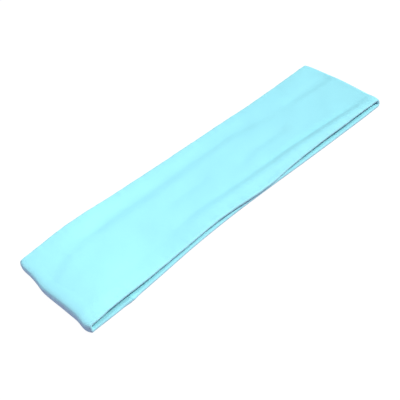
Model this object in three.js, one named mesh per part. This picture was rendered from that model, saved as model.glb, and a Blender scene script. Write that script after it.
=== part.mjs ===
// Stretch sports headband: a two-ply knitted band, sewn end to end into a loop and lying flat.
// Millimetres, +Z up. X runs along the band, Y across it, and the origin is on the surface the
// band lies on, under its middle. The near fold is at -X and the far fold at +X.
//
// The shell is the outward knit. It wraps both long edges and turns in beside the lining, which
// is the knit against the skin. Every seam is a narrow channel between two cut edges, with its
// row of thread lying in the middle of the channel.

import * as THREE from 'three';

// Driving dimensions

const BAND_LENGTH = 240; // fold to fold, as the loop lies flat
const BAND_WIDTH = 62; // rolled edge to rolled edge
const SHELL_PLY = 0.9; // thickness of the outward knit
const LINING_PLY = 0.9; // thickness of the skin-side knit
const HEAD_SLOT = 1.8; // what is left of the head opening between the two runs
const TURN_IN = 4; // how far the shell reaches in from each long edge on the skin side
const JOIN_FROM_FOLD = 25; // the cross seams, from the near fold, on the lower run
const CLOSING_LENGTH = 20; // the end of the lining's cross seam that is closed last
const THREAD = 0.4; // diameter of a row of stitches

// Clearances

const PLY_CLEARANCE = 0.3; // between shell and lining
const THREAD_CLEARANCE = 0.3; // from a row of stitches to what lies beside it

// Facets

const FOLD_STEPS = 14; // round each half-circle fold
const ROLL_STEPS = 8; // round each rolled long edge
const THREAD_SIDES = 8; // round a row of stitches

// Sizes that follow

const LINING_DEPTH = SHELL_PLY + PLY_CLEARANCE; // from the outside of the band to the lining
const RUN_THICKNESS = LINING_DEPTH + Math.max(SHELL_PLY, LINING_PLY);
const LOOP_HEIGHT = 2 * RUN_THICKNESS + HEAD_SLOT;
const FOLD_RADIUS = LOOP_HEIGHT / 2;
const ROLL_RADIUS = SHELL_PLY + PLY_CLEARANCE / 2; // outside of a rolled long edge
const CHANNEL = THREAD + 2 * THREAD_CLEARANCE; // a seam's width between its two cut edges
const ROLL_CENTRE = BAND_WIDTH / 2 - ROLL_RADIUS;
const TURN_IN_EDGE = BAND_WIDTH / 2 - TURN_IN;
const LINING_EDGE = TURN_IN_EDGE - CHANNEL;
const JOIN_X = -BAND_LENGTH / 2 + JOIN_FROM_FOLD;

// Materials

function knit(colour) {
  return new THREE.MeshStandardMaterial({ color: colour, roughness: 0.82, metalness: 0 });
}

function polyesterThread(colour) {
  return new THREE.MeshStandardMaterial({ color: colour, roughness: 0.6, metalness: 0 });
}

const SHELL_COLOUR = 0xa6eff3;
const LINING_COLOUR = 0x9ce4ea;
const THREAD_COLOUR = 0x8fdce4;

// The stations of one trip round the flattened loop. Each has a point on the outside of the band
// and the inward direction there. The trip starts half a channel past the cross seam, goes along
// the lower run, over the far fold, back along the upper run, over the near fold, and stops half
// a channel short of the seam.

function foldStations(centreX, startAngle) {
  const stations = [];
  for (let step = 0; step <= FOLD_STEPS; step += 1) {
    const angle = startAngle + (Math.PI * step) / FOLD_STEPS;
    const outward = new THREE.Vector3(Math.cos(angle), 0, Math.sin(angle));
    const point = new THREE.Vector3(centreX, 0, FOLD_RADIUS).addScaledVector(outward, FOLD_RADIUS);
    stations.push({ point, inward: outward.negate() });
  }
  return stations;
}

function loopStations() {
  const up = new THREE.Vector3(0, 0, 1);
  const foldCentre = BAND_LENGTH / 2 - FOLD_RADIUS;
  return [
    { point: new THREE.Vector3(JOIN_X + CHANNEL / 2, 0, 0), inward: up },
    ...foldStations(foldCentre, -Math.PI / 2),
    ...foldStations(-foldCentre, Math.PI / 2),
    { point: new THREE.Vector3(JOIN_X - CHANNEL / 2, 0, 0), inward: up },
  ];
}

// Stations of a straight row across the lower run, from one y to another.

function crossStations(x, fromY, toY) {
  const up = new THREE.Vector3(0, 0, 1);
  return [fromY, toY].map((y) => ({ point: new THREE.Vector3(x, y, 0), inward: up }));
}

const ACROSS = new THREE.Vector3(0, 1, 0); // sideways on a trip round the loop
const TO_NEAR_FOLD = new THREE.Vector3(-1, 0, 0); // sideways on a row across the band

// Sweeps a closed outline along stations and caps both ends. An outline point's x is measured
// along `sideways`, and its y is its depth in from the outside of the band. The outline turns
// anticlockwise and sideways x inward is the way of travel, so the faces point out.

function sweep(outline, stations, sideways) {
  const positions = [];
  for (const { point, inward } of stations) {
    for (const { x, y } of outline) {
      const corner = point.clone().addScaledVector(sideways, x).addScaledVector(inward, y);
      positions.push(corner.x, corner.y, corner.z);
    }
  }
  const count = outline.length;
  const faces = [];
  for (let ring = 0; ring < stations.length - 1; ring += 1) {
    for (let i = 0; i < count; i += 1) {
      const a = ring * count + i;
      const b = ring * count + ((i + 1) % count);
      faces.push(a, b, b + count, a, b + count, a + count);
    }
  }
  const last = (stations.length - 1) * count;
  for (const [i, j, k] of THREE.ShapeUtils.triangulateShape(outline, [])) {
    faces.push(i, k, j);
    faces.push(last + i, last + j, last + k);
  }
  const geometry = new THREE.BufferGeometry();
  geometry.setAttribute('position', new THREE.Float32BufferAttribute(positions, 3));
  geometry.setIndex(faces);
  geometry.computeVertexNormals();
  return geometry;
}

// Outlines

function arc(centreX, centreY, radius, fromAngle, toAngle, steps) {
  const points = [];
  for (let step = 0; step <= steps; step += 1) {
    const angle = fromAngle + ((toAngle - fromAngle) * step) / steps;
    const x = centreX + radius * Math.cos(angle);
    const y = centreY + radius * Math.sin(angle);
    points.push(new THREE.Vector2(x, y));
  }
  return points;
}

// The shell's section: flat outside, round both rolls, and in to the two cut edges.

function shellOutline() {
  const quarter = Math.PI / 2;
  const inner = PLY_CLEARANCE / 2;
  const lipInside = 2 * SHELL_PLY + PLY_CLEARANCE;
  return [
    ...arc(ROLL_CENTRE, ROLL_RADIUS, ROLL_RADIUS, -quarter, quarter, ROLL_STEPS),
    new THREE.Vector2(TURN_IN_EDGE, lipInside),
    new THREE.Vector2(TURN_IN_EDGE, LINING_DEPTH),
    ...arc(ROLL_CENTRE, ROLL_RADIUS, inner, quarter, -quarter, ROLL_STEPS / 2),
    ...arc(-ROLL_CENTRE, ROLL_RADIUS, inner, -quarter, -3 * quarter, ROLL_STEPS / 2),
    new THREE.Vector2(-TURN_IN_EDGE, LINING_DEPTH),
    new THREE.Vector2(-TURN_IN_EDGE, lipInside),
    ...arc(-ROLL_CENTRE, ROLL_RADIUS, ROLL_RADIUS, quarter, 3 * quarter, ROLL_STEPS),
  ];
}

function liningOutline() {
  return [
    new THREE.Vector2(-LINING_EDGE, LINING_DEPTH),
    new THREE.Vector2(LINING_EDGE, LINING_DEPTH),
    new THREE.Vector2(LINING_EDGE, LINING_DEPTH + LINING_PLY),
    new THREE.Vector2(-LINING_EDGE, LINING_DEPTH + LINING_PLY),
  ];
}

function threadOutline(sideOffset, depth) {
  const round = arc(sideOffset, depth, THREAD / 2, 0, 2 * Math.PI, THREAD_SIDES);
  round.pop();
  return round;
}

// Pieces

function piece(name, geometry, material) {
  const mesh = new THREE.Mesh(geometry, material);
  mesh.name = name;
  return mesh;
}

function outerShell() {
  return piece('outer_shell', sweep(shellOutline(), loopStations(), ACROSS), knit(SHELL_COLOUR));
}

function innerLining() {
  const geometry = sweep(liningOutline(), loopStations(), ACROSS);
  return piece('inner_lining', geometry, knit(LINING_COLOUR));
}

// The row of stitches that joins shell and lining along one long edge. Side is -1 or 1.

function edgeSeam(name, side) {
  const offset = side * (TURN_IN_EDGE - CHANNEL / 2);
  const outline = threadOutline(offset, LINING_DEPTH + LINING_PLY / 2);
  return piece(name, sweep(outline, loopStations(), ACROSS), polyesterThread(THREAD_COLOUR));
}

// A row of stitches across the lower run, lying in a cross seam at a given depth.

function crossSeam(name, depth, fromY, toY) {
  const geometry = sweep(threadOutline(0, depth), crossStations(JOIN_X, fromY, toY), TO_NEAR_FOLD);
  return piece(name, geometry, polyesterThread(THREAD_COLOUR));
}

function shellJoin() {
  return crossSeam('shell_join_seam', SHELL_PLY / 2, -ROLL_CENTRE, ROLL_CENTRE);
}

function liningJoins() {
  const depth = LINING_DEPTH + LINING_PLY / 2;
  const closingStart = LINING_EDGE - CLOSING_LENGTH;
  return [
    crossSeam('lining_join_seam', depth, -LINING_EDGE, closingStart - THREAD_CLEARANCE),
    crossSeam('closing_seam', depth, closingStart, LINING_EDGE),
  ];
}

const headband = new THREE.Group();
headband.add(outerShell());
headband.add(innerLining());
headband.add(edgeSeam('front_edge_seam', -1));
headband.add(edgeSeam('rear_edge_seam', 1));
headband.add(shellJoin());
headband.add(...liningJoins());

export default headband;
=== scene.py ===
# %% [markdown]
# # A stretch sports headband
#
# The object is one knitted band, sewn end to end into a loop, that lies flat on a table. It has two
# plies of thin jersey: a shell on the outside and a lining against the skin. The shell wraps round
# both long edges, so the edges are soft rolls with no stitching to see. Everything hard about this
# object is in small things: how the loop puffs up where it folds back on itself, how the two runs
# part and meet along the edge, and how shallow furrows wander down the cloth.
#
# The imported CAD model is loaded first. It is the fixed frame: it says how long, wide and thick the
# band is and where the seams run, and every piece below is built round it, in metres.

# %% Load the frame
import math

import bpy
import numpy as np
from mathutils import Matrix, Vector


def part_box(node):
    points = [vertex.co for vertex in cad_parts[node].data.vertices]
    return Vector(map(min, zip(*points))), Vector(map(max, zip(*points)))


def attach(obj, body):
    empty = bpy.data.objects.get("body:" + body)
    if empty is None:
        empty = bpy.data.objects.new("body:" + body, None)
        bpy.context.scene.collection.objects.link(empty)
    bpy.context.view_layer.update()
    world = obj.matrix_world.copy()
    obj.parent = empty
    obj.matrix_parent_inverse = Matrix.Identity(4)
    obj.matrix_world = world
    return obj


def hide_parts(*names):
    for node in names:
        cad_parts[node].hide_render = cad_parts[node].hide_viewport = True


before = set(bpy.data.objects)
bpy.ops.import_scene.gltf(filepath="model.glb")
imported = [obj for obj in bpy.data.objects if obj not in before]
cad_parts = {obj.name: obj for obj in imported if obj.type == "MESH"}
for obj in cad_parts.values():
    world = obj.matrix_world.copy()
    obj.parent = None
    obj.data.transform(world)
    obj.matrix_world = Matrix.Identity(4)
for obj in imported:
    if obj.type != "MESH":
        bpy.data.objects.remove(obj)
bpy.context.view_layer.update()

# %% [markdown]
# ## Sizes taken from the frame
#
# The shape formulas are easier to read in millimetres, so the frame's sizes are turned into
# millimetres here and the finished meshes are turned back into metres. The plies are a little thicker
# in the CAD model, which needs room for its clearances; real jersey of this weight is about 0.8 mm.

# %% Sizes of the band, in millimetres
MM = 0.001


def box_mm(node):
    """A CAD node's lowest and highest corner in millimetres."""
    return [np.array(corner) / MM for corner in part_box(node)]


shell_high = box_mm("outer_shell")[1]
lining_high = box_mm("inner_lining")[1]
join_low, join_high = box_mm("shell_join_seam")
HALF_LENGTH = shell_high[0]
HALF_WIDTH = shell_high[1]
TURN_IN = HALF_WIDTH - lining_high[1]
JOIN_X = (join_low[0] + join_high[0]) / 2
PLY = 0.8
print("half length and half width:", round(HALF_LENGTH, 1), round(HALF_WIDTH, 1), "mm")
print("turn-in", round(TURN_IN, 1), "mm, cross seam at x =", round(JOIN_X, 1), "mm")

# %% [markdown]
# ## How the loop lies
#
# Cloth could be dropped on the table with a cloth simulation, but a flattened loop of thick jersey
# hardly moves: it keeps the folds it was packed with. So the lie is written down directly, as a
# handful of curves that a sewer would draw in plan and from the side. Each curve goes smoothly
# through a few points, and that is what this helper does: it returns a function that passes through
# the points with an even slope (a Catmull-Rom curve, which needs no library).

# %% A smooth curve through a few points


def curve_through(*points):
    """A function of x that passes smoothly through (x, value) points and is level beyond them."""
    at = np.array([p[0] for p in points], float)
    value = np.array([p[1] for p in points], float)
    slope = np.gradient(value, at)
    slope[0] = slope[-1] = 0.0

    def curve(x):
        x = np.clip(x, at[0], at[-1])
        i = np.clip(np.searchsorted(at, x) - 1, 0, len(at) - 2)
        span = at[i + 1] - at[i]
        s = (x - at[i]) / span
        rise = s * s * (3 - 2 * s)
        start_pull = s * (1 - s) ** 2 * slope[i] * span
        end_pull = s * s * (s - 1) * slope[i + 1] * span
        return value[i] + (value[i + 1] - value[i]) * rise + start_pull + end_pull

    return curve


def ease(low, high, x):
    """0 below low, 1 above high, and a soft S between them."""
    s = np.clip((x - low) / (high - low), 0, 1)
    return s * s * (3 - 2 * s)


def blend(a, b, s):
    """a where s is 0, b where s is 1, and a straight mix between."""
    return a + (b - a) * s


print("ease from 0 to 1 at a quarter of the way:", ease(0, 1, 0.25))

# %% [markdown]
# ## Plan view
#
# Seen from above, neither run is a true rectangle. The upper run is a touch wider beside the near
# fold, draws in a little before the middle and runs nearly straight to the far fold. The lower run
# shows past the upper one near both folds and hides under it in the middle. Each curve below is one
# long edge of one run: the distance along the band, then the outermost point across it.

# %% Both long edges of both runs
upper_front = curve_through(
    (-118, -32.0), (-104, -30.9), (-80, -30.3), (-60, -29.2), (-45, -28.6), (-30, -28.0), (-15, -28.4),
    (0, -29.6), (15, -30.1), (35, -29.4), (60, -29.5), (84, -30.3), (118, -30.7))
upper_rear = curve_through(
    (-118, 31.2), (-94, 32.4), (-66, 32.4), (-30, 31.7), (10, 31.4), (62, 30.2), (96, 30.3),
    (118, 30.7))
lower_front = curve_through(
    (-118, -32.0), (-96, -31.9), (-74, -30.8), (-50, -29.3), (-15, -28.6), (15, -29.3), (45, -30.4),
    (76, -31.3), (112, -32.0))
lower_rear = curve_through((-118, 31.0), (-60, 31.6), (0, 31.2), (60, 30.4), (118, 30.6))
print("upper run is", round(upper_rear(0.0) - upper_front(0.0), 1), "mm wide in the middle")

# %% [markdown]
# Both fold lines bow a little, and their corners draw back, because a rolled edge can't turn as
# sharply as flat cloth. Here the first number is the place across the band and the second is how far
# out the fold reaches. A high power of the place across keeps the pull to the corners alone.

# %% Both fold lines
near_tip = curve_through(
    (-29, -121.2), (-21, -120.3), (-14, -120.6), (-7, -121.0), (0, -121.5), (7, -121.7), (14, -120.8),
    (21, -120.3), (29, -120.6))
far_tip = curve_through((-30, 118.6), (-14, 119.6), (4, 120.2), (18, 119.5), (30, 118.4))
NEAR_CORNER_PULL = 2.4
FAR_CORNER_PULL = 1.2
CORNER_POWER = 14


def corner(w, pull):
    """How far a fold line draws back at its corners."""
    return pull * np.abs(w / HALF_WIDTH) ** CORNER_POWER


print("fold to fold:", round(far_tip(0.0) - near_tip(0.0), 1), "mm")

# %% [markdown]
# ## Side view
#
# From the side the runs are about 2 mm thick each. The long edges hold the seam allowances, so they
# are a shade thicker than the middle. Between the runs is the head opening, closed up to a gap that
# changes along the front edge: open near the folds, nearly shut where the upper run sags between them.
# The far fold is pressed nearly flat. The near fold is plump, most of all in its front half, and its
# swell dies away along the upper run: one curve across the band times one along it.

# %% Thickness
MIDDLE_HALF = 1.0
EDGE_HALF = 1.12


def half_thickness(w):
    """Half of one run's thickness, both plies together."""
    return MIDDLE_HALF + (EDGE_HALF - MIDDLE_HALF) * ease(18, 27, np.abs(w))


print("thickness in the middle and at the edge:", 2 * half_thickness(0.0), 2 * half_thickness(30.0))

# %% The gap between the runs, and the near fold's swell
gap_front = curve_through(
    (-116, 1.7), (-100, 1.5), (-70, 1.4), (-40, 1.3), (-10, 0.9), (8, 0.6), (30, 1.0), (60, 1.4),
    (90, 1.3), (116, 0.9))
gap_middle = curve_through((-112, 1.7), (-60, 1.4), (10, 1.1), (80, 1.1), (116, 0.8))
gap_rear = curve_through((-116, 0.9), (-80, 2.2), (-40, 1.2), (20, 0.5), (80, 0.6), (116, 0.8))
swell_across = curve_through((-31, 1.4), (-23, 2.9), (-10, 3.1), (2, 2.1), (12, 1.4), (31, 0.9))
swell_along = curve_through(
    (-120, 0.75), (-113, 0.95), (-106, 1.0), (-95, 0.8), (-80, 0.35), (-60, 0.0))


def gap(x, w):
    """The space between the two runs."""
    front = 1 - ease(-30, -16, w)
    rear = ease(16, 30, w)
    return gap_front(x) * front + gap_rear(x) * rear + gap_middle(x) * (1 - front - rear)


def swell(x, w):
    """How much the near fold lifts the upper run."""
    return swell_across(w) * swell_along(x)


print("gap at the middle of the front edge:", round(float(gap(0.0, -HALF_WIDTH)), 2), "mm")

# %% [markdown]
# ## Furrows
#
# A band that has been folded and stretched keeps shallow furrows, which run along it and fade out at
# both ends. A brush or a displacement texture would scatter them at random; these are laid where they
# are wanted, each as a line of points on the upper run with a depth and a width. A furrow has a bank
# beside it, where the cloth it displaced stands a little proud, and it climbs more gently to the rear.

# %% Lines of the furrows
FURROWS = [
    # depth, half width, points (x, y) from one end to the other
    (1.0, 5.2, [(84, 6), (66, 11), (47, 16), (28, 19.5), (4, 19), (-21, 18.5), (-45, 18.5), (-68, 19),
                (-84, 18), (-112, 14)]),
    (0.85, 4.0, [(126, 9), (104, 11), (70, 12)]),
    (0.40, 4.0, [(-2, 1), (-22, 2), (-44, 1)]),
    (0.50, 4.0, [(62, -4), (32, -2), (8, -6)]),
    (0.35, 4.5, [(-119, 4), (-110, 9), (-98, 16)]),
]
print(len(FURROWS), "furrows")

# %% [markdown]
# Each point of the cloth finds its nearest place on a furrow's line. The distance gives the height,
# and the place along the line gives the fade at its ends.

# %% The shape of a furrow
END_FADE = 0.22
BANK = 0.7
REAR_SPREAD = 1.6


def nearest(x, y, points):
    """How far (x, y) is from a line of points, how far to its rear, and where along it, from 0 to 1."""
    best = np.full(np.shape(x), np.inf)
    behind = np.zeros(np.shape(x))
    along = np.zeros(np.shape(x))
    ends = np.array(points, float)
    steps = np.hypot(*np.diff(ends, axis=0).T)
    reach = np.concatenate([[0], np.cumsum(steps)]) / steps.sum()
    for (ax, ay), (bx, by), start, stop in zip(ends[:-1], ends[1:], reach[:-1], reach[1:]):
        dx, dy = bx - ax, by - ay
        s = np.clip(((x - ax) * dx + (y - ay) * dy) / (dx * dx + dy * dy), 0, 1)
        off = np.hypot(x - ax - s * dx, y - ay - s * dy)
        along = np.where(off < best, start + (stop - start) * s, along)
        behind = np.where(off < best, y - ay - s * dy, behind)
        best = np.minimum(best, off)
    return best, behind, along


def furrow(x, y, depth, half_width, points):
    """The height of one furrow and its bank at (x, y): negative in the furrow."""
    off, behind, along = nearest(x, y, points)
    fade = ease(0, END_FADE, along) * ease(0, END_FADE, 1 - along)
    q = (off / (half_width * blend(1, REAR_SPREAD, ease(-1, 1, behind)))) ** 2
    return -depth * fade * (1 - BANK * q) * np.exp(-q)


print("height in the longest furrow:", round(float(furrow(4.0, 19.0, *FURROWS[0])), 2), "mm")

# %% [markdown]
# ## The hem's welt
#
# The turned-in hem and its seam allowance lie inside the front edge and show through the upper run as
# a low welt. It slopes gently out to the edge and drops more sharply on its inner side, into a slight
# hollow. The main lamp stands on the front side, so that inner drop shows as a long soft shade.

# %% The welt along the front edge
hem_line = curve_through((-54, -16), (-30, -16), (5, -18), (43, -20), (80, -23), (108, -25))
hem_height = curve_through(
    (-60, 0.0), (-30, 0.6), (0, 1.0), (30, 1.3), (60, 1.6), (90, 1.6), (118, 0.5))
WELT_DROP = 2.6
WELT_SLOPE = 4.0
HOLLOW = 0.3
HOLLOW_WIDTH = 2.8


def hem_welt(x, y):
    """The height of the welt and of the hollow beside it at (x, y)."""
    inward = y - hem_line(x)
    drop = 1 - ease(-WELT_DROP, WELT_DROP, inward)
    slope_out = np.exp(-((np.minimum(inward + WELT_DROP, 0) / WELT_SLOPE) ** 2))
    hollow = HOLLOW * np.exp(-(((inward - WELT_DROP) / HOLLOW_WIDTH) ** 2))
    return hem_height(x) * (drop * slope_out - hollow)


print("welt at the top of its drop:", round(float(hem_welt(75.0, hem_line(75.0) - WELT_DROP)), 2), "mm")

# %% [markdown]
# ## Unevenness
#
# Cloth is never quite even between its furrows. A few slow waves of different lengths, added up, stand
# for that and need no random numbers. Along the long edges the edge seam draws the cloth in, which
# leaves small gathers that die out a few millimetres from the edge.

# %% Waves and gathers
WAVES = [
    # length along x, length along y, phase, height: none of them repeats within the band
    (61.0, 47.0, 0.4, 0.10),
    (37.0, -29.0, 2.1, 0.06),
    (23.0, 53.0, 4.0, 0.035),
    (17.0, -19.0, 1.2, 0.02),
]
PUCKERS = [
    # length, phase, height
    (7.3, 0.3, 0.05),
    (4.9, 1.9, 0.04),
    (11.7, 3.1, 0.06),
]
PUCKER_REACH = 5.0


def unevenness(x, y):
    """A faint slow waviness that no hand-laid line explains."""
    return sum(h * np.sin(2 * math.pi * (x / lx + y / ly) + p) for lx, ly, p, h in WAVES)


def puckers(x, w):
    """Small gathers along the long edges."""
    waves = sum(h * np.sin(2 * math.pi * x / length + p + np.sign(w)) for length, p, h in PUCKERS)
    return waves * np.exp(-(HALF_WIDTH - np.abs(w)) / PUCKER_REACH)


print("waves add up to at most", round(sum(wave[3] for wave in WAVES), 3), "mm")

# %% [markdown]
# ## The middle surface
#
# All these curves come together in one function. It takes a distance round the loop, starting at the
# cross seam, and a place across the band, and returns the point halfway through the cloth. The loop is
# four stretches: lower run, far fold, upper run, near fold. The cross seam lies on the lower run, so
# its place there says how far round the loop the lower run begins.

# %% Lengths round the loop
FOLD_LENGTH = 10.0
RUN = 2 * HALF_LENGTH - FOLD_LENGTH
LOOP = 2 * (RUN + FOLD_LENGTH)
FAR_DEPTH = 1.5
near_depth_above = curve_through((-31, 4.0), (-22, 7.0), (-10, 7.5), (2, 6.0), (14, 5.0), (31, 4.6))
near_depth_below = curve_through((-31, 1.0), (-18, 1.0), (4, 1.0), (31, 1.2))
RUN_START = near_tip(0) + near_depth_below(0)
JOIN_AT = RUN * (JOIN_X - RUN_START) / (far_tip(0) - FAR_DEPTH - RUN_START)
print("loop", round(LOOP, 1), "mm, cross seam", round(JOIN_AT, 1), "mm along the lower run")

# %% [markdown]
# ## The two runs
#
# The lower run lies flat on the table. Its one rise is at the cross seam, where the allowances make it
# thicker and a touch wider. The upper run lies on the gap, the swell and the furrows, but never sinks
# into the lower one, and it calms down beside the folds so that it meets them smoothly.

# %% Points on the runs
RIDGE_HALF = 0.22
RIDGE_REACH = 3.2
RIDGE_SPREAD = 0.08
LEAST_GAP = 0.12
CALM_REACH = 6


def from_join(t):
    """Distance round the loop to the cross seam, the short way."""
    return np.minimum(t % LOOP, LOOP - t % LOOP)


def ridge(t):
    """The cross seam's allowances make the lower run this much thicker on each side."""
    return RIDGE_HALF * np.exp(-((from_join(t) / RIDGE_REACH) ** 2))


def lower_point(x, w, lift=0.0):
    """A point of the lower run, raised and spread by the cross seam's lift."""
    across = (w + HALF_WIDTH) / (2 * HALF_WIDTH)
    y = blend(lower_front(x), lower_rear(x), across) * (1 + RIDGE_SPREAD * lift)
    return x, y, half_thickness(w) + lift


def upper_point(x, w):
    """A point of the upper run."""
    across = (w + HALF_WIDTH) / (2 * HALF_WIDTH)
    y = blend(upper_front(x), upper_rear(x), across)
    soft = sum(furrow(x, y, *f) for f in FURROWS) + hem_welt(x, y) + unevenness(x, y) + puckers(x, w)
    level = 3 * half_thickness(w) + gap(x, w) + swell(x, w)
    least = 3 * half_thickness(w) + LEAST_GAP
    calm = ease(0, CALM_REACH, HALF_LENGTH - np.abs(x))
    return x, y, np.maximum(level + soft * calm, least)


print("upper run's middle stands", round(float(upper_point(np.array(0.0), 0.0)[2]), 2), "mm high")

# %% [markdown]
# ## The folds
#
# A fold is two quarter curves that meet at its tip. A plain ellipse gives the far fold, and the upper
# part of the near one, which slopes away gently. The lower part of the near fold is nearly upright,
# as cloth is that has been pressed down on a table, so it takes a squarer curve: a superellipse, which
# turns the same corner with its sides kept straighter. The higher its fullness, the squarer it is.

# %% Points on a fold
ELLIPSE = 2.0
NEAR_FULLNESS = 3.2
NEAR_TIP_SHARE = 0.79
FAR_TIP_SHARE = 0.5


def fold_point(angle, tip, outward, below, above, tip_share, fullness, w):
    """A point of a fold. angle runs from -90 degrees on the lower run to 90 on the upper run."""
    depth = np.where(angle < 0, below, above)
    _, ly, lz = lower_point(tip - outward * below, w)
    _, uy, uz = upper_point(tip - outward * above, w)
    tip_z = blend(lz, uz, tip_share)
    fullness = np.where(angle < 0, fullness, ELLIPSE)
    swing = (np.abs(np.cos(angle)) ** fullness + np.abs(np.sin(angle)) ** fullness) ** (-1 / fullness)
    z = tip_z + np.where(angle < 0, tip_z - lz, uz - tip_z) * swing * np.sin(angle)
    y = blend(ly, uy, ease(-math.pi / 2, math.pi / 2, angle))
    x = tip - outward * depth * (1 - swing * np.cos(angle))
    return x, y, z


print("far fold", FAR_DEPTH, "mm deep, near fold up to", float(near_depth_above(-10)), "mm")

# %% All four stretches together


def middle(t, w):
    """The point halfway through the cloth, t mm round the loop from the cross seam and w mm across."""
    t, w = np.broadcast_arrays(np.asarray(t, float), np.asarray(w, float))
    d = (t + JOIN_AT) % LOOP
    near = near_tip(w) + corner(w, NEAR_CORNER_PULL)
    far = far_tip(w) - corner(w, FAR_CORNER_PULL)
    above, below = near_depth_above(w), near_depth_below(w)
    s = d / RUN
    on_lower = lower_point(blend(near + below, far - FAR_DEPTH, np.clip(s, 0, 1)), w, ridge(t))
    s = (d - RUN) / FOLD_LENGTH
    far_angle = math.pi * (np.clip(s, 0, 1) - 0.5)
    on_far = fold_point(far_angle, far, 1, FAR_DEPTH, FAR_DEPTH, FAR_TIP_SHARE, ELLIPSE, w)
    s = (d - RUN - FOLD_LENGTH) / RUN
    on_upper = upper_point(blend(far - FAR_DEPTH, near + above, np.clip(s, 0, 1)), w)
    s = (d - 2 * RUN - FOLD_LENGTH) / FOLD_LENGTH
    near_angle = math.pi * (0.5 - np.clip(s, 0, 1))
    on_near = fold_point(near_angle, near, -1, below, above, NEAR_TIP_SHARE, NEAR_FULLNESS, w)
    stretch = [d < RUN, d < RUN + FOLD_LENGTH, d < 2 * RUN + FOLD_LENGTH]
    four = zip(on_lower, on_far, on_upper, on_near)
    return np.stack([np.select(stretch, [a, b, c], n) for a, b, c, n in four], axis=-1)


print("middle of the cloth at the cross seam:", middle(0.0, 0.0).round(2), "mm")

# %% [markdown]
# ## Standing off from the middle surface
#
# The shell, the lining and every stitch lie at some depth from that middle surface, so each needs its
# direction out of the cloth and its direction across it. Both come from neighbouring points.

# %% Directions and depths
REACH = 0.25


def directions(t, w):
    """The middle surface and its unit directions outward and across."""
    along = middle(t + REACH, w) - middle(t - REACH, w)
    across = middle(t, w + REACH) - middle(t, w - REACH)
    across /= np.linalg.norm(across, axis=-1, keepdims=True)
    outward = np.cross(across, along)
    outward /= np.linalg.norm(outward, axis=-1, keepdims=True)
    return middle(t, w), outward, across


def at_depth(t, w, out, side=0.0):
    """Points that stand out mm outward and side mm sideways from the middle surface."""
    point, outward, across = directions(t, w)
    return point + outward * np.asarray(out)[..., None] + across * np.asarray(side)[..., None]


print("outward at the cross seam:", directions(0.0, 0.0)[1].round(2))

# %% [markdown]
# ## The cross seam
#
# The two ends of the band are sewn together face to face and opened out, so the outside shows a fine
# groove between two low ridges, where the allowances lie underneath. Both plies dip into the groove.

# %% Groove at the cross seam
GROOVE_DEPTH = 0.5
GROOVE_REACH = 0.6


def groove(t):
    """How far both plies dip in at the cross seam."""
    return GROOVE_DEPTH * np.exp(-((from_join(t) / GROOVE_REACH) ** 2))


def depth_at(t, w):
    """Half the cloth's thickness anywhere round the loop."""
    return half_thickness(w) + ridge(t)


print("cloth at the ridges:", round(2 * float(depth_at(1.5, 0.0)), 2), "mm thick")

# %% [markdown]
# The grid of points needs to be fine only where the cloth turns sharply, at the cross seam and round
# both folds. Elsewhere a millimetre is enough. The loop is left open by a hair at the seam, as it is
# cut there.

# %% Stations round the loop
SEAM_SLIT = 0.04
COARSE = 1.0
FINE = 0.35
SEAM_STEP = 0.6 * FINE
SEAM_ZONE = 2.5
FOLD_MARGIN = 1


def stations(step):
    """Distances round the loop: close together by the cross seam and round both folds."""
    marks = [SEAM_SLIT]
    far_start = RUN - JOIN_AT
    near_start = far_start + FOLD_LENGTH + RUN
    while marks[-1] < LOOP - SEAM_SLIT:
        t = marks[-1]
        in_far = far_start - FOLD_MARGIN < t < far_start + FOLD_LENGTH + FOLD_MARGIN
        in_near = near_start - FOLD_MARGIN < t < near_start + FOLD_LENGTH + FOLD_MARGIN
        if from_join(np.array(t)) < SEAM_ZONE:
            marks.append(t + SEAM_STEP)
        elif in_far or in_near:
            marks.append(t + FINE)
        else:
            marks.append(t + step)
    marks[-1] = LOOP - SEAM_SLIT
    return np.array(marks)


print("stations round the loop:", len(stations(COARSE)))

# %% [markdown]
# ## From points to a sheet
#
# A grid of points becomes a mesh of four-sided faces, with a UV map that measures the cloth in
# millimetres along and across. The knit pattern uses that map, so its rows follow the cloth round the
# folds. The Solidify modifier then gives the sheet its real thickness.

# %% Mesh helpers


def distances(points, axis):
    """Running length of the grid along one axis, averaged over the other."""
    step = np.linalg.norm(np.diff(points, axis=axis), axis=-1).mean(axis=1 - axis)
    return np.concatenate([[0], np.cumsum(step)])


def link(name, mesh):
    """A new object in the scene that shows a mesh."""
    piece = bpy.data.objects.new(name, mesh)
    bpy.context.scene.collection.objects.link(piece)
    return piece


print("length of a 3-4-5 step:", distances(np.array([[[0, 0, 0]], [[3, 4, 0]]]), 0)[-1])

# %% A sheet with its thickness


def sheet_object(name, points):
    """A mesh object from a grid of points in millimetres."""
    rows, columns = points.shape[:2]
    index = np.arange(rows * columns).reshape(rows, columns)
    quads = np.stack([index[:-1, :-1], index[:-1, 1:], index[1:, 1:], index[1:, :-1]], axis=-1)
    mesh = bpy.data.meshes.new(name)
    mesh.from_pydata((points.reshape(-1, 3) * MM).tolist(), [], quads.reshape(-1, 4).tolist())
    u, v = np.meshgrid(distances(points, 0), distances(points, 1), indexing="ij")
    uv = np.stack([u, v], axis=-1).reshape(-1, 2)
    corners = np.zeros(len(mesh.loops), np.int32)
    mesh.loops.foreach_get("vertex_index", corners)
    mesh.uv_layers.new(name="cloth").data.foreach_set("uv", uv[corners].astype(np.float32).ravel())
    mesh.shade_smooth()
    return link(name, mesh)


def thicken(piece, thickness):
    """Gives a sheet its thickness, half to each side."""
    solid = piece.modifiers.new("ply", "SOLIDIFY")
    solid.thickness = thickness * MM
    solid.offset = 0
    solid.use_even_offset = False


print("ply:", PLY, "mm, half to each side of its sheet")

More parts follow.
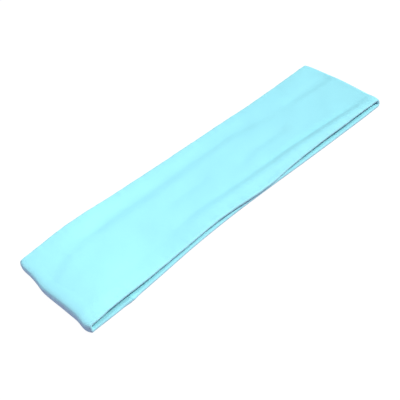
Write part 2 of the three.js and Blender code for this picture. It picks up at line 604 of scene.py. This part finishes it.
# %% [markdown]
# ## The shell
#
# Across the band, the shell starts at its cut edge on the skin side, runs out to the front edge, rolls
# over it, crosses the whole outside, rolls over the rear edge and comes back in. The list below is that
# path: a place across the band, how far out of the middle surface it stands as a share of the depth
# there, and how far it stands sideways. The cut edge itself dips between the plies.

# %% The shell's path across the band
ROLL_STEPS = 12
FACE_STEPS = 50
HEM_STEPS = 4
HEM_START = 0.1
ROLL_CENTRE = HALF_WIDTH - EDGE_HALF
ROLL = EDGE_HALF - PLY / 2
HEM_EDGE = HALF_WIDTH - TURN_IN
# how far past the hem's edge, and how far out, from the cut edge to the face
HEM_DIP = [(0.35, -0.1), (0.1, -0.62)]


def shell_path():
    """Rows of (place across, share of the depth outward, sideways) from hem to hem."""
    path = [(-HEM_EDGE + past, out, 0.0) for past, out in HEM_DIP]
    for s in np.linspace(HEM_START, 1, HEM_STEPS, endpoint=False):
        path.append((blend(-HEM_EDGE, -ROLL_CENTRE, s), -1.0, 0.0))
    for a in np.linspace(-math.pi / 2, math.pi / 2, ROLL_STEPS, endpoint=False):
        path.append((-ROLL_CENTRE, math.sin(a), -math.cos(a)))
    front_half = list(path)
    for s in np.linspace(-ROLL_CENTRE, ROLL_CENTRE, FACE_STEPS + 1):
        path.append((s, 1.0, 0.0))
    path += [(-w, out, -side) for w, out, side in reversed(front_half)]
    return np.array(path)


print("points across the shell:", len(shell_path()))

# %% The shell


def make_shell():
    """The whole shell as one sheet."""
    t = stations(COARSE)[:, None]
    w, out, side = shell_path().T[:, None, :]
    depth = depth_at(t, w) - PLY / 2
    outside = np.clip(out, 0, 1)
    points = at_depth(t, w, out * depth - groove(t) * outside, side * ROLL)
    piece = sheet_object("shell_cloth", points)
    thicken(piece, PLY)
    return piece


shell_cloth = make_shell()
print("shell grid:", len(shell_cloth.data.vertices), "points")

# %% [markdown]
# ## The lining
#
# The lining is the ply against the skin. It lies between the two turned-in hems of the shell, and its
# own edges dip between the plies to meet them, which is where the edge stitches are. It's the same
# kind of sheet as the shell, only flat across.

# %% The lining
LINING_EDGE = lining_high[1]
LINING_STEPS = 44
LINING_COARSE = 1.4
LINING_FACE_START = 0.9
# how far in from the lining's edge, and how far out, from the cut edge to the face
LINING_DIP = [(0.15, -0.15), (0.3, -0.62)]


def lining_path():
    """Rows of (place across, share of the depth outward, sideways) from edge to edge."""
    face_edge = LINING_EDGE - LINING_FACE_START
    edge = [(-LINING_EDGE + inward, out, 0.0) for inward, out in LINING_DIP]
    face = [(w, -1.0, 0.0) for w in np.linspace(-face_edge, face_edge, LINING_STEPS)]
    return np.array(edge + face + [(-w, out, side) for w, out, side in reversed(edge)])


def make_lining():
    """The whole lining as one sheet, turned to face the skin."""
    t = stations(LINING_COARSE)[:, None]
    w, out, side = lining_path().T[:, None, :]
    depth = depth_at(t, w) - PLY / 2
    points = at_depth(t, w, out * depth + groove(t), side)[:, ::-1]
    piece = sheet_object("lining_cloth", points)
    thicken(piece, PLY)
    return piece


lining_cloth = make_lining()
print("lining grid:", len(lining_cloth.data.vertices), "points")

# %% [markdown]
# ## Stitches
#
# A seam is a row of separate stitches, so that is how each row is made: many short lengths of thread,
# each a little tube that tapers where it goes through the cloth and bows up in the middle. One mesh
# holds a whole row, because a row is one thread on the real band.

# %% The shape of one stitch
THREAD = 0.4
THREAD_SIDES = 7
THREAD_BOW = 0.5
STITCH_TAPER = [
    # share of the stitch's length, share of the thread's full thickness
    (0.0, 0.15),
    (0.08, 0.6),
    (0.22, 0.95),
    (0.5, 1.0),
    (0.78, 0.95),
    (0.92, 0.6),
    (1.0, 0.15),
]
print("each stitch has", len(STITCH_TAPER) * THREAD_SIDES, "points")

# %% A row of stitches


def thread_row(name, starts, ends, lifts):
    """One mesh with a tube from each start to its end, bowed towards lifts, all in millimetres."""
    points, quads, uvs = [], [], []
    for number, (start, end, lift) in enumerate(zip(starts, ends, lifts)):
        run = end - start
        length = np.linalg.norm(run)
        side = np.cross(run / length, lift)
        first = len(points)
        for share, plump in STITCH_TAPER:
            centre = start + run * share + lift * THREAD * THREAD_BOW * math.sin(math.pi * share)
            for k in range(THREAD_SIDES):
                a = 2 * math.pi * k / THREAD_SIDES
                points.append(centre + (side * math.cos(a) + lift * math.sin(a)) * THREAD / 2 * plump)
                uvs.append((length * (share + number), k / THREAD_SIDES))
        for ring in range(len(STITCH_TAPER) - 1):
            for k in range(THREAD_SIDES):
                a = first + ring * THREAD_SIDES + k
                b = first + ring * THREAD_SIDES + (k + 1) % THREAD_SIDES
                quads.append((a, a + THREAD_SIDES, b + THREAD_SIDES, b))
        last = first + (len(STITCH_TAPER) - 1) * THREAD_SIDES
        quads.append(tuple(range(first, first + THREAD_SIDES)))
        quads.append(tuple(reversed(range(last, last + THREAD_SIDES))))
    mesh = bpy.data.meshes.new(name)
    mesh.from_pydata((np.array(points) * MM).tolist(), [], quads)
    layer = mesh.uv_layers.new(name="cloth").data
    for loop in mesh.loops:
        layer[loop.index].uv = uvs[loop.vertex_index]
    mesh.shade_smooth()
    return link(name, mesh)


print("stitches taper to", STITCH_TAPER[0][1] * THREAD, "mm at their ends")

# %% [markdown]
# The edge seams follow the loop just inside the hems. The cross seams run over the band in the bottom
# of the groove: one through the shell, one through the lining, and a last short stretch of the lining
# that is closed by hand with slanted stitches after the band has been turned right side out. A stitch
# shows for most of its length, and the gap to the next one is where the thread is below.

# %% Sizes of the stitches
EDGE_STITCH = 2.4
EDGE_START = 1.0
CROSS_STITCH = 2.0
CLOSING_STITCH = 1.3
CLOSING_SLANT = 0.45
CLOSING_GAP = 0.3
LINING_INSET = 0.6
STITCH_SHOWS = 0.86
THREAD_SEAT = PLY * 0.62
GROOVE_SEAT = GROOVE_DEPTH * 0.55
CLOSING_LENGTH = (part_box("closing_seam")[1].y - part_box("closing_seam")[0].y) / MM
CLOSING_START = LINING_EDGE - CLOSING_LENGTH
SEAM_LINE = (HEM_EDGE + LINING_EDGE) / 2
print("closing stitches over", round(CLOSING_LENGTH, 1), "mm")

# %% Rows along and across the band


def edge_row(name, side):
    """The row of stitches along one long edge. side is -1 in front and 1 at the rear."""
    t = np.arange(EDGE_START, LOOP - EDGE_START, EDGE_STITCH)
    w = np.full_like(t, side * SEAM_LINE)
    depth = -(depth_at(t, w) - THREAD_SEAT)
    start = at_depth(t, w, depth)
    end = at_depth(t + EDGE_STITCH * STITCH_SHOWS, w, depth)
    lift = -directions(t, w)[1]
    return thread_row(name, start, end, lift)


def cross_row(name, from_w, to_w, facing, stitch, slant):
    """A row of stitches in the groove. facing is 1 on the outside and -1 on the skin side."""
    w = np.arange(from_w, to_w - stitch, stitch)
    t = np.zeros_like(w)
    depth = facing * (depth_at(t, w) - THREAD_SEAT - GROOVE_SEAT)
    start = at_depth(t - slant, w, depth)
    end = at_depth(t + slant, w + stitch * STITCH_SHOWS, depth)
    lift = directions(t, w)[1] * facing
    return thread_row(name, start, end, lift)


print("room for", int((LOOP - 2 * EDGE_START) / EDGE_STITCH), "stitches along an edge")

# %% The five rows
front_stitches = edge_row("front_edge_stitches", -1)
rear_stitches = edge_row("rear_edge_stitches", 1)
shell_join_stitches = cross_row(
    "shell_join_stitches", -ROLL_CENTRE, ROLL_CENTRE, 1, CROSS_STITCH, 0.0)
lining_join_stitches = cross_row(
    "lining_join_stitches", -LINING_EDGE + LINING_INSET, CLOSING_START, -1, CROSS_STITCH, 0.0)
closing_stitches = cross_row(
    "closing_stitches", CLOSING_START + CLOSING_GAP, LINING_EDGE - LINING_INSET, -1, CLOSING_STITCH,
    CLOSING_SLANT)
stitches = {
    "front_edge_seam": front_stitches,
    "rear_edge_seam": rear_stitches,
    "shell_join_seam": shell_join_stitches,
    "lining_join_seam": lining_join_stitches,
    "closing_seam": closing_stitches,
}
print("rows of stitches:", len(stitches))

# %% [markdown]
# ## Knit jersey
#
# Plain jersey shows fine columns of V-shaped stitches. Here the columns run across the band, because
# the cloth stretches most along the rows and a headband has to stretch along its length. The pattern
# is worked out from the UV map, in millimetres: each column is two slanting legs side by side. It is
# fed to a Bump node. It also paints a little shade into the hollows between the legs, as a darker
# base colour there. A slow noise on top makes the dye look slightly uneven, as it always does.

# %% Node helpers
COLUMN = 0.85
ROW = 0.62
TURN = 2 * math.pi


def add_node(tree, kind, **values):
    """A new node with some of its settings changed."""
    node = tree.nodes.new(kind)
    for name, value in values.items():
        setattr(node, name, value)
    return node


def calculate(tree, operation, *sources):
    """A Math node whose inputs are other nodes' outputs or plain numbers."""
    node = add_node(tree, "ShaderNodeMath", operation=operation)
    for socket, source in zip(node.inputs, sources):
        if isinstance(source, (int, float)):
            socket.default_value = source
        else:
            tree.links.new(source, socket)
    return node.outputs[0]


def cloth_map(tree):
    """The distances along and across the cloth, in millimetres, as two sockets."""
    uv = add_node(tree, "ShaderNodeUVMap", uv_map="cloth")
    split = add_node(tree, "ShaderNodeSeparateXYZ")
    tree.links.new(uv.outputs[0], split.inputs[0])
    return split.outputs[0], split.outputs[1]


print("knit columns in a centimetre:", round(10 / COLUMN, 1))

# %% Colour and relief


def two_tone(tree, share, low, high):
    """A colour between low and high, fed to the shader's base colour."""
    mix = add_node(tree, "ShaderNodeMix", data_type="RGBA")
    tree.links.new(share, mix.inputs["Factor"])
    mix.inputs["A"].default_value = (*low, 1)
    mix.inputs["B"].default_value = (*high, 1)
    tree.links.new(mix.outputs["Result"], tree.nodes["Principled BSDF"].inputs["Base Color"])


def relief(tree, height, strength, distance):
    """Makes the surface look raised where height is great."""
    raised = add_node(tree, "ShaderNodeBump")
    raised.inputs["Strength"].default_value = strength
    raised.inputs["Distance"].default_value = distance * MM
    tree.links.new(height, raised.inputs["Height"])
    tree.links.new(raised.outputs[0], tree.nodes["Principled BSDF"].inputs["Normal"])


print("knit rows in a centimetre:", round(10 / ROW, 1))

# %% The knit's height
LEG_BASE = 0.7
LEG_SWELL = 0.3
LEG_ROUNDNESS = 0.6


def knit_height(tree, column, row):
    """The height of the knit, from 0 in the hollows to 1 on the legs."""
    along, across = cloth_map(tree)
    place = calculate(tree, "FRACT", calculate(tree, "DIVIDE", along, column))
    from_middle = calculate(tree, "ABSOLUTE", calculate(tree, "SUBTRACT", place, 0.5))
    wave = calculate(tree, "SINE", calculate(tree, "MULTIPLY", place, TURN))
    legs = calculate(tree, "ABSOLUTE", wave)
    slant = calculate(tree, "ADD", calculate(tree, "DIVIDE", across, row), from_middle)
    turn = calculate(tree, "SINE", calculate(tree, "MULTIPLY", slant, TURN))
    plump = calculate(tree, "MULTIPLY_ADD", turn, LEG_SWELL, LEG_BASE)
    return calculate(tree, "MULTIPLY", calculate(tree, "POWER", legs, LEG_ROUNDNESS), plump)


print("the knit's height runs from 0 to", LEG_BASE + LEG_SWELL)

# %% Jersey material
KNIT_RELIEF = 0.12
DYE_SCALE = 55.0
KNIT_SHADE_SHARE = 0.75
DYE_SHARE = 0.5


def jersey(name, colour, hollow_shade_and_dye_colour, coarseness, bump, sheen):
    """A knitted cloth. coarseness enlarges its columns and rows."""
    material = bpy.data.materials.new(name)
    material.use_nodes = True
    tree = material.node_tree
    height = knit_height(tree, COLUMN * coarseness, ROW * coarseness)
    place = add_node(tree, "ShaderNodeTexCoord")
    uneven = add_node(tree, "ShaderNodeTexNoise")
    uneven.inputs["Scale"].default_value = DYE_SCALE
    uneven.inputs["Detail"].default_value = 3.0
    tree.links.new(place.outputs["Object"], uneven.inputs["Vector"])
    # the knit's share darkens the base colour in the hollows: painted shade. The noise below is real
    # dye tone
    knit = calculate(tree, "MULTIPLY", height, KNIT_SHADE_SHARE)
    dye = calculate(tree, "MULTIPLY", uneven.outputs[0], DYE_SHARE)
    two_tone(tree, calculate(tree, "ADD", knit, dye), hollow_shade_and_dye_colour, colour)
    relief(tree, height, bump, KNIT_RELIEF)
    shader = tree.nodes["Principled BSDF"]
    shader.inputs["Roughness"].default_value = 0.82
    shader.inputs["Specular IOR Level"].default_value = 0.2
    shader.inputs["Sheen Weight"].default_value = sheen
    shader.inputs["Sheen Roughness"].default_value = 0.45
    shader.inputs["Sheen Tint"].default_value = (0.86, 0.84, 1.0, 1)
    return material


# the second colour is the painted shade of the knit's hollows and also the darker patches of the dye
shell_knit = jersey("shell_knit", (0.325, 0.80, 0.83), (0.28, 0.72, 0.78), 1.0, 0.35, 0.10)
lining_knit = jersey("lining_knit", (0.31, 0.78, 0.82), (0.24, 0.66, 0.72), 1.3, 0.5, 0.05)
shell_cloth.data.materials.append(shell_knit)
lining_cloth.data.materials.append(lining_knit)
print("cloths:", shell_knit.name, lining_knit.name)

# %% [markdown]
# ## Thread
#
# Sewing thread is two or three strands twisted together and catches more light than the cloth. A
# slanting wave along each stitch stands for the twist, as a bump and as painted shade between strands.

# %% Thread material
TWISTS_PER_MM = 1.6
STRANDS = 2.0
SHADE_BETWEEN_STRANDS = 0.75
STRAND_BUMP = 0.6
STRAND_RELIEF = 0.05


def thread_material(name, colour):
    """A twisted thread, darker between its strands."""
    material = bpy.data.materials.new(name)
    material.use_nodes = True
    tree = material.node_tree
    along, around = cloth_map(tree)
    twist = calculate(tree, "MULTIPLY", along, TWISTS_PER_MM)
    turns = calculate(tree, "ADD", twist, calculate(tree, "MULTIPLY", around, STRANDS))
    wave = calculate(tree, "SINE", calculate(tree, "MULTIPLY", turns, math.pi))
    strand = calculate(tree, "ABSOLUTE", wave)
    # darker between the strands: painted shade in the grooves of the twist
    two_tone(tree, strand, [SHADE_BETWEEN_STRANDS * c for c in colour], colour)
    relief(tree, strand, STRAND_BUMP, STRAND_RELIEF)
    shader = tree.nodes["Principled BSDF"]
    shader.inputs["Roughness"].default_value = 0.5
    shader.inputs["Specular IOR Level"].default_value = 0.4
    return material


sewing_thread = thread_material("sewing_thread", (0.27, 0.71, 0.79))
for row_of_stitches in stitches.values():
    row_of_stitches.data.materials.append(sewing_thread)
print("thread:", sewing_thread.name, "on", len(stitches), "rows")

# %% [markdown]
# ## Floor and light
#
# The band lies on a white table in a bright studio. The floor glows by itself and is hidden from the
# rays that light the cloth, so it can be nearly white without filling in the shade under the folds.
# What a table would send back comes from the lower half of the sky instead, which is a dull pink. The
# sky is white at the horizon, where the table ends, and dim and cool above.

# %% Floor
FLOOR_SIZE = 30.0
FLOOR_TONE = 0.08
FLOOR_GLOW = 0.96
floor_mesh = bpy.data.meshes.new("floor")
floor_corners = [(-FLOOR_SIZE, -FLOOR_SIZE, 0), (FLOOR_SIZE, -FLOOR_SIZE, 0),
                 (FLOOR_SIZE, FLOOR_SIZE, 0), (-FLOOR_SIZE, FLOOR_SIZE, 0)]
floor_mesh.from_pydata(floor_corners, [], [(0, 1, 2, 3)])
floor = link("floor", floor_mesh)
pale = bpy.data.materials.new("white_table")
pale.use_nodes = True
pale_shader = pale.node_tree.nodes["Principled BSDF"]
pale_shader.inputs["Base Color"].default_value = (FLOOR_TONE, FLOOR_TONE, FLOOR_TONE, 1)
pale_shader.inputs["Roughness"].default_value = 1.0
pale_shader.inputs["Specular IOR Level"].default_value = 0.0
pale_shader.inputs["Emission Color"].default_value = (1, 1, 1, 1)
pale_shader.inputs["Emission Strength"].default_value = FLOOR_GLOW
floor_mesh.materials.append(pale)
floor.visible_diffuse = False
floor.visible_glossy = False
floor.visible_shadow = False
print("floor:", 2 * FLOOR_SIZE, "m square")

# %% Sky
SKY = [
    # height of the direction, from -1 straight down to 1 straight up, and the colour there
    (-0.30, (0.52, 0.30, 0.44)),
    (-0.04, (0.52, 0.30, 0.44)),
    (-0.01, (1.0, 1.0, 1.0)),
    (0.07, (1.0, 1.0, 1.0)),
    (0.14, (0.30, 0.25, 0.37)),
    (1.00, (0.12, 0.15, 0.22)),
]

sky = bpy.data.worlds.new("studio")
sky.use_nodes = True
sky_tree = sky.node_tree
where = add_node(sky_tree, "ShaderNodeTexCoord")
height_of = add_node(sky_tree, "ShaderNodeSeparateXYZ")
sky_tree.links.new(where.outputs["Generated"], height_of.inputs[0])
level_of = calculate(sky_tree, "MULTIPLY_ADD", height_of.outputs[2], 0.5, 0.5)
shades = add_node(sky_tree, "ShaderNodeValToRGB")
while len(shades.color_ramp.elements) < len(SKY):
    shades.color_ramp.elements.new(0.5)
for stop, (level, colour) in zip(shades.color_ramp.elements, SKY):
    stop.position = level / 2 + 0.5
    stop.color = (*colour, 1)
sky_tree.links.new(level_of, shades.inputs[0])
sky_tree.links.new(shades.outputs[0], sky_tree.nodes["Background"].inputs["Color"])
bpy.context.scene.world = sky
bpy.context.scene.view_settings.view_transform = "Standard"
print("sky shades:", len(shades.color_ramp.elements))

# %% [markdown]
# The main lamp shines down at about 40 degrees from beyond the far end and a little from the front. So
# the furrows and the welt are shaded on the side away from it, and the near fold's side is in shade. A
# small lamp over the near end makes the light fall off towards the far end. Two weak lamps, a pink one
# low at the near end and a red one in front, make the shaded fold and the front edge greyer, because
# red light on aqua cloth comes back nearly grey.

# %% Lamps


def lamp(name, kind, place, power, colour):
    """A lamp at a place, aimed at the middle of the band."""
    light = bpy.data.lights.new(name, kind)
    light.energy = power
    light.color = colour
    stand = bpy.data.objects.new(name, light)
    stand.location = place
    stand.rotation_euler = (-Vector(place)).to_track_quat("-Z", "Y").to_euler()
    bpy.context.scene.collection.objects.link(stand)
    return light


main_lamp = lamp("main_lamp", "SUN", (0.76, -0.33, 0.72), 3.5, (0.97, 0.995, 0.985))
main_lamp.angle = math.radians(9)
overhead_lamp = lamp("overhead_lamp", "AREA", (-0.13, 0.0, 0.34), 0.40, (1.0, 1.0, 1.0))
overhead_lamp.size = 0.2
end_lamp = lamp("end_lamp", "AREA", (-0.8, 0.15, 0.22), 1.35, (1.0, 0.30, 0.48))
end_lamp.size = 0.3
edge_lamp = lamp("edge_lamp", "AREA", (0.1, -0.8, 0.25), 1.2, (1.0, 0.15, 0.18))
edge_lamp.size = 0.4
print("lamps:", len(bpy.data.lights))

# %% [markdown]
# ## Camera
#
# The camera looks down at about 45 degrees from the front left, along the band, with the horizon
# tipped a little, so the band runs from the lower left to the upper right of the frame.

# %% Camera
VIEW_AZIMUTH = -39.76
VIEW_ELEVATION = 45.28
VIEW_ROLL = -6.21
VIEW_DISTANCE = 0.4013
AIM = Vector((-0.0195, -0.0052, 0.0))
LENS = 62.03


def make_camera():
    """The scene's camera, aimed at AIM from the angles and distance above."""
    azimuth, elevation, roll = (math.radians(a) for a in (VIEW_AZIMUTH, VIEW_ELEVATION, VIEW_ROLL))
    flat = Vector((-math.sin(azimuth), math.cos(azimuth), 0))
    forward = flat * math.cos(elevation) - Vector((0, 0, math.sin(elevation)))
    level = forward.cross(Vector((0, 0, 1))).normalized()
    upright = level.cross(forward)
    right = level * math.cos(roll) + upright * math.sin(roll)
    up = upright * math.cos(roll) - level * math.sin(roll)
    camera = bpy.data.objects.new("camera", bpy.data.cameras.new("camera"))
    turn = Matrix((right, up, -forward)).transposed().to_4x4()
    camera.matrix_world = Matrix.Translation(AIM - forward * VIEW_DISTANCE) @ turn
    camera.data.lens = LENS
    bpy.context.scene.collection.objects.link(camera)
    bpy.context.scene.camera = camera
    return camera


camera = make_camera()
print("camera stands at", [round(v, 3) for v in camera.matrix_world.translation], "m")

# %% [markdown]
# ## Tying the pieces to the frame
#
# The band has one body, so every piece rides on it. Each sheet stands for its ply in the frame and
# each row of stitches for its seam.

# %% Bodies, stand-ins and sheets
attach(shell_cloth, "root")
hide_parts("outer_shell")
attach(lining_cloth, "root")
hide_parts("inner_lining")
for seam, row_of_stitches in stitches.items():
    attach(row_of_stitches, "root")
    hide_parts(seam)

print("pieces:", 2 + len(stitches))
